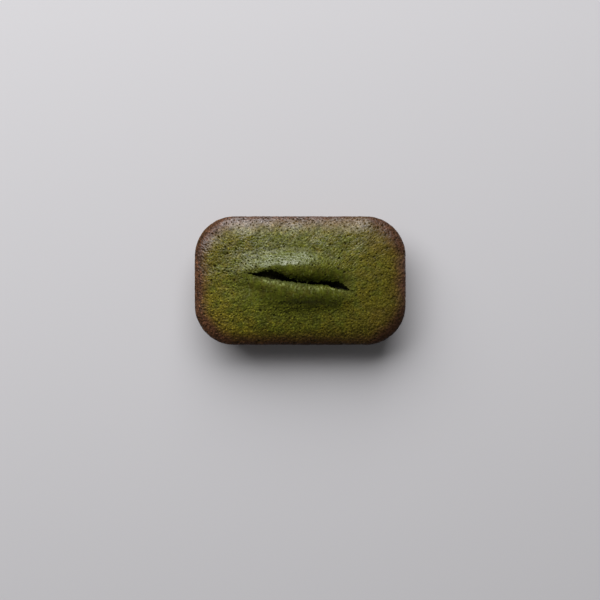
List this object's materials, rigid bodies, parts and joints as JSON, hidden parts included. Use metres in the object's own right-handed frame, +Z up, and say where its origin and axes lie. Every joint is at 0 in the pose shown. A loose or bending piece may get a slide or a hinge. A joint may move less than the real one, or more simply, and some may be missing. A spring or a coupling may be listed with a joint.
{
  "type": "financier cake",
  "caption": "Small green-tea financier: a rounded rectangular almond cake with drafted moulded sides, a browned rim and a humped top split lengthwise",
  "frame": {"origin": "middle of the flat base, under the middle of the rim's bounding box", "axes": "+X along the length, +Y across the width to the side of the taller crest, +Z up"},
  "size_m": [0.082, 0.05, 0.0245],
  "materials": {
    "crust": "baked cake crust: porous, olive green in the middle and brown at the rim, with a soft buttery sheen"
  },
  "bodies": {
    "root": {"financier": "crust"}
  },
  "joints": []
}
